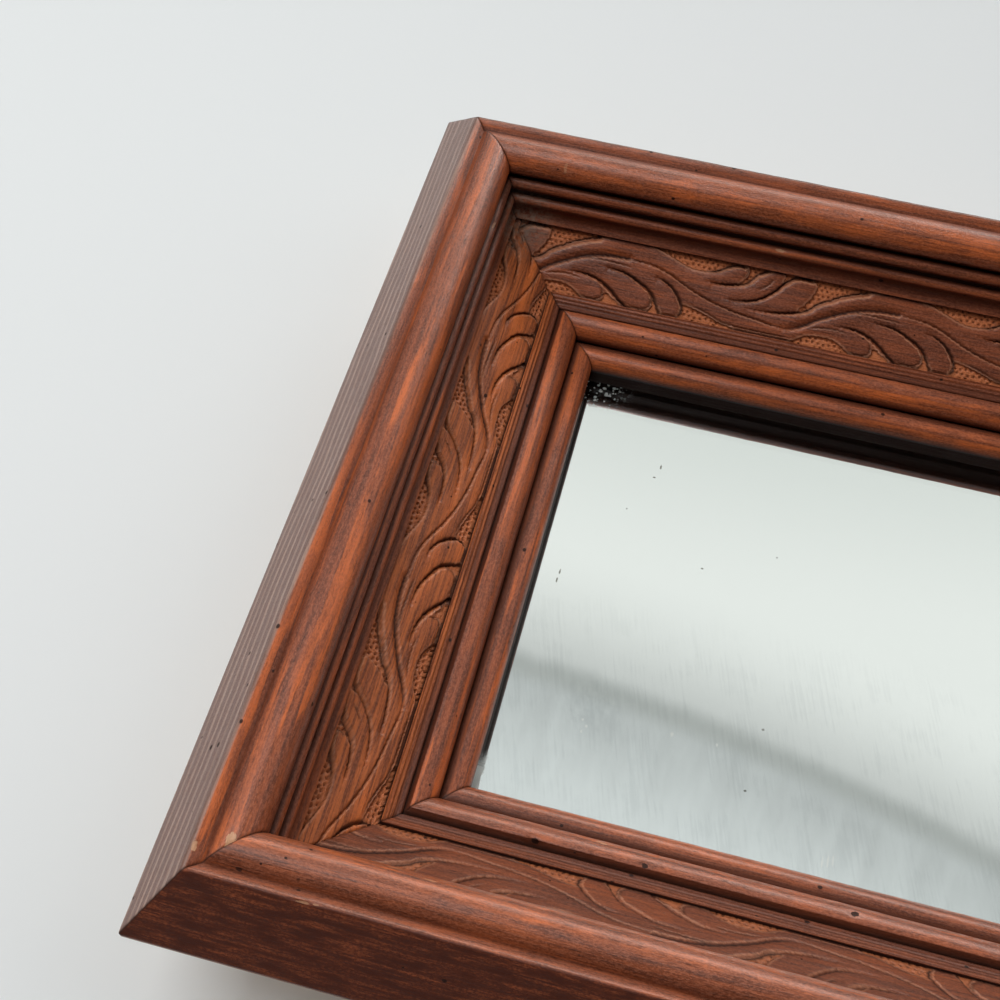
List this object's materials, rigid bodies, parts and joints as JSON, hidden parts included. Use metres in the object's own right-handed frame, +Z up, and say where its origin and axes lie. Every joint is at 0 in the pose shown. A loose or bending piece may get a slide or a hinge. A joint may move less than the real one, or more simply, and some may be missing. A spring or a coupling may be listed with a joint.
{
  "type": "wall mirror",
  "caption": "Rectangular wall mirror in a deep, canted, mitred moulding with a carved leaf frieze, beads and a sight bead, hung by rings on its back.",
  "frame": {"origin": "on the wall plane, behind the middle of the mirror", "axes": "+Z up as hung, +X along the width, the mirror faces -Y and +Y points into the wall"},
  "size_m": [0.419, 0.0845, 0.368],
  "materials": {
    "stained_pine": "reddish brown stain under a thin satin coat, darker in the grooves, with open grain",
    "clear_glass": "clear float glass, faintly green at the edges",
    "silver_coat": "silvered, with slight wear at the edges",
    "hardboard": "brown hardboard, smooth side out",
    "zinc_steel": "zinc plated, dull",
    "brassed_steel": "brass plated steel, slightly tarnished",
    "bumper_rubber": "soft matt rubber"
  },
  "bodies": {
    "frame": {"left_rail": "stained_pine", "right_rail": "stained_pine", "top_rail": "stained_pine", "bottom_rail": "stained_pine", "mirror_glass": "clear_glass", "mirror_silvering": "silver_coat", "backing_board": "hardboard", "glazing_points": "zinc_steel", "corner_v_nails": "zinc_steel", "left_hanger_strap": "brassed_steel", "right_hanger_strap": "brassed_steel", "left_hanger_screws": "brassed_steel", "right_hanger_screws": "brassed_steel", "wall_bumpers": "bumper_rubber"},
    "left_ring": {"left_hanger_ring": "brassed_steel"},
    "right_ring": {"right_hanger_ring": "brassed_steel"}
  },
  "joints": [
    {"name": "left_ring_swing", "type": "hinge", "parent": "frame", "child": "left_ring", "pos_m": [-0.13305, -0.00235, 0.074], "axis": [1, 0, 0], "range_deg": [0, 180]},
    {"name": "right_ring_swing", "type": "hinge", "parent": "frame", "child": "right_ring", "pos_m": [0.13305, -0.00235, 0.074], "axis": [1, 0, 0], "range_deg": [0, 180]}
  ]
}
